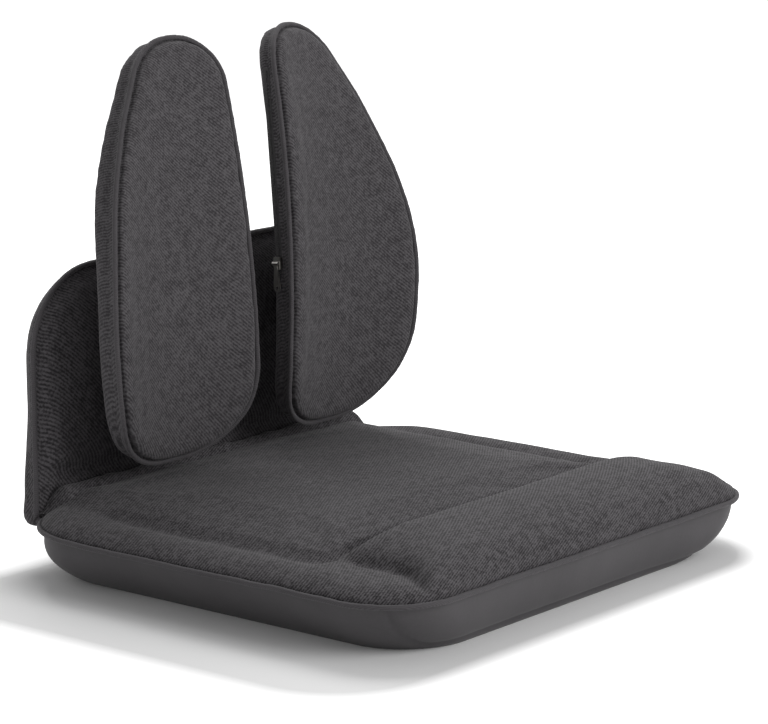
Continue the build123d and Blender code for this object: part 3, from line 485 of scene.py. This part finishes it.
def stuffed(names, voxel, seam_node, free, pressure, most, groove, name, material, patches=()):
    """A filled cover over CAD solids: remeshed, blown up between its seams, drawn in at the cord."""
    seam = seam_tree(seam_node)
    solids = merged_copy(*names)
    for low, high in patches:
        block = bmesh.ops.create_cube(solids, size=1.0)["verts"]
        size, middle = high - low, (high + low) / 2
        place = Matrix.Translation(middle) @ Matrix.Diagonal((*size, 1))
        bmesh.ops.transform(solids, verts=block, matrix=place)
    skin = remeshed(solids, voxel, 4)
    piece = finish_mesh(skin, name, material)

    def held(point):
        near = seam.find_nearest(point)[3]
        return max(1 - free(point), ease(1.5 - near / 0.009), 0.02)

    puff(piece, held, pressure, most)
    refine(piece, lambda point, normal: groove(point, normal, seam.find_nearest(point)[3]), settle=5)
    return piece


def back_free(point):
    """Only the front face swells, above its foot; the band and the rear are held."""
    return ease((BACK_FACE - 0.001 - point.y) / 0.003) * ease((point.z - 0.08) / 0.01)


def back_groove(point, normal, near):
    """The cover dips beside the cord, meets it at the band, and rounds away towards the rear."""
    fine = 0.0004 * noise.noise(point * 38) * ease(near / 0.01)
    behind = ease((point.y - BACK_FACE - 0.001) / 0.002)
    dip = 0.0014 * ridge(near - 0.0004, 0.0022) * (1 - behind) - 0.0024 * ridge(near, 0.0045) * behind
    rounding = 0.0065 * ease((point.y - BACK_FACE - 0.006) / 0.016) * ease((0.036 - near) / 0.012)
    inwards = Vector((-point.x, 0, 0.04 - point.z)).normalized()
    return normal * (0.0008 - dip - fine) + inwards * rounding * ease((point.z - 0.06) / 0.08)


NOTCH_PLACE, NOTCH_HALF = 170.5, 11.0
NOTCH_PATCHES = [(Vector((side * NOTCH_PLACE - NOTCH_HALF, 206.2, 59)) * 0.001,
                  Vector((side * NOTCH_PLACE + NOTCH_HALF, 211.5, 82)) * 0.001) for side in (-1, 1)]
back_panel = stuffed(["back_foam", "back_front_cover", "back_rear_cover"], 0.004, "back_piping",
                     back_free, 3.0, 0.0035, back_groove, "back_panel", back_cloth, NOTCH_PATCHES)
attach(back_panel, "back")
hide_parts("back_foam", "back_front_cover", "back_rear_cover")

# ---- upright pads -----------------------------------------------------------------------------------
# Two mirrored pads in front of the panel, hollowed to the back's shape: foam on a moulded shell in a
# twill cover, with a corded front edge and a band of two strips that a plain seam joins.
pad_cloth = twill("pad_twill", (0.036, 0.033, 0.036), (0.112, 0.106, 0.112),
                  (0.71, 0.25, 0.71), (0.71, 0.25, -0.71), 0.0022, 0.00016)
PAD_CUP, PAD_BOW, PAD_BAND_SEAM = 0.215, 1.293, 0.007
DRAWN_CUP, DRAWN_BOW = 170.0, 992.0       # the hollow's two radii once the cover is drawn tight, in mm
PAD_AXES = Matrix.Translation((0.105, 0.1457, 0.238)) @ Matrix.Rotation(math.radians(-4.2), 4, "X")
FROM_PAD = PAD_AXES.inverted()


def pad_depth(point):
    """How far a point lies behind the pad's corded seam, in metres; either pad."""
    p = FROM_PAD @ Vector((abs(point.x), point.y, point.z))
    level = PAD_BOW - math.hypot(p.y - PAD_BOW, p.z)
    return math.hypot(p.x, level + PAD_CUP) - PAD_CUP


def pad_free(point):
    """Only the face swells; the band is held."""
    return ease((-0.001 - pad_depth(point)) / 0.003)


def pad_groove(point, normal, near):
    """The face dips beside the cord, the band meets it, and its two strips join in a thin seam."""
    depth = pad_depth(point)
    behind = ease((depth + 0.0012) / 0.002)
    dip = 0.0017 * ridge(near - 0.0004, 0.002) * (1 - behind) - 0.0013 * ridge(near, 0.003) * behind
    band = 0.0010 * ridge(depth - PAD_BAND_SEAM, 0.0013)
    fine = 0.00035 * noise.noise(point * 45) * ease(near / 0.01)
    return normal * (0.0009 - dip - band - fine)


def drawn(point, near=0.02):
    """Where the drawn-tight cover takes a point of the pad: a deeper hollow and a fuller shoulder."""
    p = FROM_PAD @ Vector((abs(point.x), point.y, point.z)) * 1000

    def surface(cup, bow):
        level = math.sqrt(cup ** 2 - min(abs(p.x), 100) ** 2) - cup
        return bow - math.sqrt((bow - level) ** 2 - p.z ** 2)

    shoulder = 3.0 * ridge(p.z - 78, 40) - 6.0 * ease((p.z - 115) / 45) - 5.5 * ridge(p.z + 108, 42)
    foot = -6.0 * ease((-92 - p.z) / 55)
    reach = 82 - 0.4 * max(0.0, p.z - 5)
    t = min(max((p.x + 78) / (reach + 78), 0.0), 1.0)
    back = surface(DRAWN_CUP, DRAWN_BOW) - surface(PAD_CUP * 1000, PAD_BOW * 1000) + 3.3 - 0.0244 * p.z
    rear = pad_depth(point) * 1000
    back += t * (3.0 + 5.5 * ridge(p.z - 70, 60)) * ease((rear - 4) / 12) * ease((0.030 - near) / 0.010)
    up = p.z + 3.2 * ease((p.z - 40) / 110) + 1.6 * ease((-110 - p.z) / 35)
    moved = PAD_AXES @ (Vector((p.x + foot * (1 - t) + shoulder * t, p.y + back, up)) * 0.001)
    return Vector((math.copysign(moved.x, point.x), moved.y, moved.z))


for side in ("left", "right"):
    names = [f"pad_{part}_{side}" for part in ("foam", "shell", "front_cover", "rear_cover")]
    pad = stuffed(names, 0.0034, f"pad_piping_{side}", pad_free, 3.0, 0.0035,
                  pad_groove, f"pad_{side}", pad_cloth)
    seam = seam_tree(f"pad_piping_{side}")
    for v in pad.data.vertices:
        v.co = drawn(v.co, seam.find_nearest(v.co)[3])
    cord = corded_edge(f"pad_piping_{side}", f"pad_cord_{side}", f"pad_{side}")
    for v in cord.data.vertices:
        v.co = drawn(v.co)
    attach(pad, f"pad_{side}")
    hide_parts(names[0], names[2], names[3])

# ---- zips -------------------------------------------------------------------------------------------
# A coil zip up each pad's inner edge, sewn into the band on a narrow woven tape. The slider and its
# hanging leaf-shaped pull are nickel-plated and keep their CAD shape.
ZIP_FOOT = Vector((-0.07847, -0.0034, -0.02144))     # from the pad's middle
ZIP_LENGTH, TOOTH_PITCH = 0.176, 0.0016
ZIP_TILT, ZIP_LEAN = math.radians(3.0), math.atan2(0.0156, 0.3357)


def tape_cloth():
    """Narrow woven tape, darker than the cover."""
    material, wire, shader, point = new_material("zip_tape")
    fuzz = wire.grain(point, 0.0007, 2.0)
    colour = wire.blend(fuzz, (0.018, 0.017, 0.018), (0.05, 0.048, 0.05))
    bump = wire.node("ShaderNodeBump", {}, {"Strength": 0.6, "Distance": 0.0001, "Height": fuzz})
    join(wire, shader, Base_Color=colour, Roughness=0.8, Normal=bump)
    return material


tape_finish = tape_cloth()
along = Vector((math.sin(ZIP_LEAN) * math.cos(ZIP_TILT), math.sin(ZIP_TILT),
                math.cos(ZIP_LEAN) * math.cos(ZIP_TILT)))
out = Vector((-math.cos(ZIP_LEAN), 0, math.sin(ZIP_LEAN)))
zip_axes = Matrix((along, out.cross(along), out)).transposed().to_4x4()
zip_axes = PAD_AXES @ Matrix.Translation(ZIP_FOOT) @ zip_axes
for side, mirror in (("right", Matrix.Identity(4)), ("left", Matrix.Scale(-1, 4, (1, 0, 0)))):
    bm = bmesh.new()
    bmesh.ops.create_cube(bm, size=1.0)
    bmesh.ops.transform(bm, verts=bm.verts, matrix=Matrix.Translation((ZIP_LENGTH / 2, 0, 0.00045))
                        @ Matrix.Diagonal((ZIP_LENGTH, 0.0068, 0.0006, 1)))
    for step in range(int(ZIP_LENGTH / TOOTH_PITCH)):
        place = Matrix.Translation(((step + 0.5) * TOOTH_PITCH, 0.0003 * (-1) ** step, 0.0012))
        tooth = bmesh.ops.create_cube(bm, size=1.0)["verts"]
        bmesh.ops.transform(bm, verts=tooth, matrix=place @ Matrix.Diagonal((0.0009, 0.0026, 0.0009, 1)))
    bmesh.ops.bevel(bm, geom=bm.edges[:], offset=0.0002, segments=1, profile=0.5,
                    affect="EDGES", material=-1)
    bmesh.ops.transform(bm, verts=bm.verts, matrix=mirror @ zip_axes)
    bmesh.ops.recalc_face_normals(bm, faces=bm.faces)
    chain = finish_mesh(bm, f"zip_chain_{side}", tape_finish, smooth=False)
    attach(chain, f"pad_{side}")
    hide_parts(f"pad_zip_{side}")

# ---- gusset -----------------------------------------------------------------------------------------
# A loose strip of the seat's cloth closes the gap between the seat's rear border and the panel's
# foot. It is built rucked up, as when the panel stands; the real one pulls flat as the panel lies back.
GUSSET_WIDTH, GUSSET_REACH = 397.0, 21.0  # across the chair, and from the seat back to the panel, in mm

bm = bmesh.new()
bmesh.ops.create_grid(bm, x_segments=150, y_segments=16, size=0.5)
for v in bm.verts:
    across, t = v.co.x, v.co.y + 0.5
    x = across * GUSSET_WIDTH
    end, tuck = ease((abs(x) - 150) / 44), ease((abs(x) - 183) / 13)
    ruck = noise.noise(Vector((x / 24, t * 1.6, 4.2)))
    fine = noise.noise(Vector((x / 9, t * 2.5, 9.0)))
    arch = math.sin(math.pi * t)
    y = 184.5 + GUSSET_REACH * t - 2.0 * ruck * arch - 9.0 * end * (1 - t)
    lift = (8.5 + 3.0 * end + (2.6 + 2.6 * end) * ruck + 0.9 * fine) * arch
    z = 59.0 + 3.0 * t + lift - 6.0 * end * (1 - t)
    z -= (z - 46.5) * 0.85 * tuck
    v.co = Vector((x, y, z)) * 0.001
bmesh.ops.recalc_face_normals(bm, faces=bm.faces)
cloth_area = sum(f.calc_area() for f in bm.faces)
gusset = finish_mesh(bm, "hinge_gusset_cloth", seat_cloth)
thick = gusset.modifiers.new("Solidify", "SOLIDIFY")
thick.thickness, thick.offset = 0.0012, 0.0
finer = gusset.modifiers.new("Subdivision", "SUBSURF")
finer.levels = finer.render_levels = 1
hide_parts("hinge_gusset")
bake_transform(gusset)
cloth_area / 0.397

# ---- steel, plastic and rubber ----------------------------------------------------------------------
# Bent tube and plates in satin black paint, zinc-plated hinge plates and pins, moulded shells with a
# fine spark-eroded grain, and soft rubber bushes. These keep their CAD shapes.
def hard(name, dark, light, grain_size, roughness, metallic=0.0, relief=0.00004, coat=0.0):
    """Paint, plating, plastic or rubber: fine grain, faint blotches and uneven gloss."""
    material, wire, shader, point = new_material(name)
    grain = wire.grain(point, grain_size, 3.0)
    blotch = wire.grain(point, 0.02, 3.0)
    colour = wire.blend(grain * 0.4 + blotch * 0.6, dark, light)
    bump = wire.node("ShaderNodeBump", {}, {"Strength": 0.5, "Distance": relief, "Height": grain})
    join(wire, shader, Base_Color=colour, Roughness=roughness + blotch * 0.15, Normal=bump,
         Metallic=metallic, Coat_Weight=coat)
    return material


finishes = {
    "frame_steel": hard("black_paint", (0.008, 0.008, 0.009), (0.02, 0.02, 0.021), 0.0006, 0.35,
                        coat=0.2),
    "zinc_steel": hard("zinc_plate", (0.42, 0.42, 0.40), (0.60, 0.60, 0.57), 0.002, 0.28, metallic=1.0),
    "shell_plastic": hard("moulded_plastic", (0.012, 0.012, 0.012), (0.03, 0.03, 0.03), 0.0007, 0.5),
    "bush_rubber": hard("bush_rubber", (0.008, 0.008, 0.008), (0.02, 0.02, 0.02), 0.0009, 0.7),
    "zip_metal": hard("nickel_plate", (0.24, 0.235, 0.225), (0.42, 0.41, 0.39), 0.001, 0.25,
                      metallic=1.0),
}
slots = {part["node"]: part["material_slot"] for part in frame["record"]["subparts"]}
for name, node in nodes.items():
    if slots[name] in finishes and not node.hide_render:
        node.data.materials.clear()
        node.data.materials.append(finishes[slots[name]])

# ---- floor, light and camera ------------------------------------------------------------------------
# A plain white studio floor with a painted shadow: it glows for the eye alone, brighter away from the
# seat, so a box round the seat stays darker; a broad lamp from the front, another from above, behind and
# to the right, and an even sky.
FLOOR_GLOW_BEYOND_PAINTED_SHADOW, FLOOR_NEAR = 0.75, 0.02       # seen by the eye: the most that distance adds outside the painted shadow, and an even part
PAINTED_SHADOW_MIDDLE, PAINTED_SHADOW_HALF = (-0.04, 0.0, 0.0), (0.20, 0.14, 0.0)     # the box of the painted shadow round the seat, that distance is taken from
SKY_LIGHT = 0.38


def seen_by_eye(wire):
    """1 for what the camera sees, straight or through gloss and glass; 0 for light on the object."""
    camera_ray = wire.node("ShaderNodeLightPath", {}, {}, "Is Camera Ray")
    outputs = camera_ray.socket.node.outputs
    glossy, clear = (Wire(wire.tree, outputs[name]) for name in ("Is Glossy Ray", "Is Transmission Ray"))
    return wire.maths("MINIMUM", camera_ray + glossy + clear, 1.0)


bm = bmesh.new()
bmesh.ops.create_grid(bm, x_segments=1, y_segments=1, size=14.0)
floor_finish, wire, shader, point = new_material("studio_floor")
speckle = wire.grain(point, 0.4, 2.0)
# painted shadow: the floor's glow for the eye rises with distance outside a box round the seat, so the
# floor close to the seat stays darker
offset = wire.vector_maths("ABSOLUTE", wire.vector_maths("SUBTRACT", point, PAINTED_SHADOW_MIDDLE))
outside = wire.vector_maths("MAXIMUM", wire.vector_maths("SUBTRACT", offset, PAINTED_SHADOW_HALF), (0.0, 0.0, 0.0))
away = wire.vector_maths("LENGTH", outside, output=1) * 20.0 - 1.5
glow_beyond_painted_shadow = wire.maths("MINIMUM", wire.maths("MAXIMUM", away, 0.0), FLOOR_GLOW_BEYOND_PAINTED_SHADOW)
join(wire, shader, Base_Color=wire.blend(speckle, (0.90, 0.90, 0.90), (0.92, 0.92, 0.92)),
     Roughness=0.9, Specular_IOR_Level=0.0, Emission_Color=(1, 1, 1, 1),
     Emission_Strength=seen_by_eye(wire) * (glow_beyond_painted_shadow + FLOOR_NEAR))
floor_finish.cycles.emission_sampling = "NONE"
floor = finish_mesh(bm, "studio_floor", floor_finish, smooth=False)

world = bpy.data.worlds.new("studio")
bpy.context.scene.world = world
world.use_nodes = True
sky = world.node_tree.nodes["Background"]
sky.inputs["Color"].default_value = (1, 1, 1, 1)
strength = seen_by_eye(Wire(world.node_tree, None)) * (1 - SKY_LIGHT) + SKY_LIGHT
world.node_tree.links.new(strength.socket, sky.inputs["Strength"])


def soft_light(name, place, aim, size, watts):
    """A square area light aimed at a point."""
    data = bpy.data.lights.new(name, "AREA")
    data.shape, data.size, data.energy = "SQUARE", size, watts
    lamp = bpy.data.objects.new(name, data)
    lamp.location = place
    lamp.rotation_euler = (Vector(aim) - Vector(place)).to_track_quat("-Z", "Y").to_euler()
    bpy.context.scene.collection.objects.link(lamp)


soft_light("key", (0.15, -2.4, 1.4), (0, 0, 0.15), 1.4, 32)
soft_light("back", (1.1, 1.1, 2.4), (0, 0, 0.05), 1.5, 36)

AIM, DISTANCE = Vector((0.0654, 0.0616, 0.150)), 2.6729
azimuth, elevation = math.radians(-51.1), math.radians(11.5)
level = math.cos(elevation)
back = Vector((math.sin(azimuth) * level, -math.cos(azimuth) * level, math.sin(elevation)))
camera = bpy.data.objects.new("camera", bpy.data.cameras.new("camera"))
camera.data.lens, camera.data.sensor_width = 150.0, 36.0
camera.location = AIM + back * DISTANCE
camera.rotation_euler = (-back).to_track_quat("-Z", "Y").to_euler()
bpy.context.scene.collection.objects.link(camera)
bpy.context.scene.camera = camera
bpy.context.scene.view_settings.view_transform = "Standard"
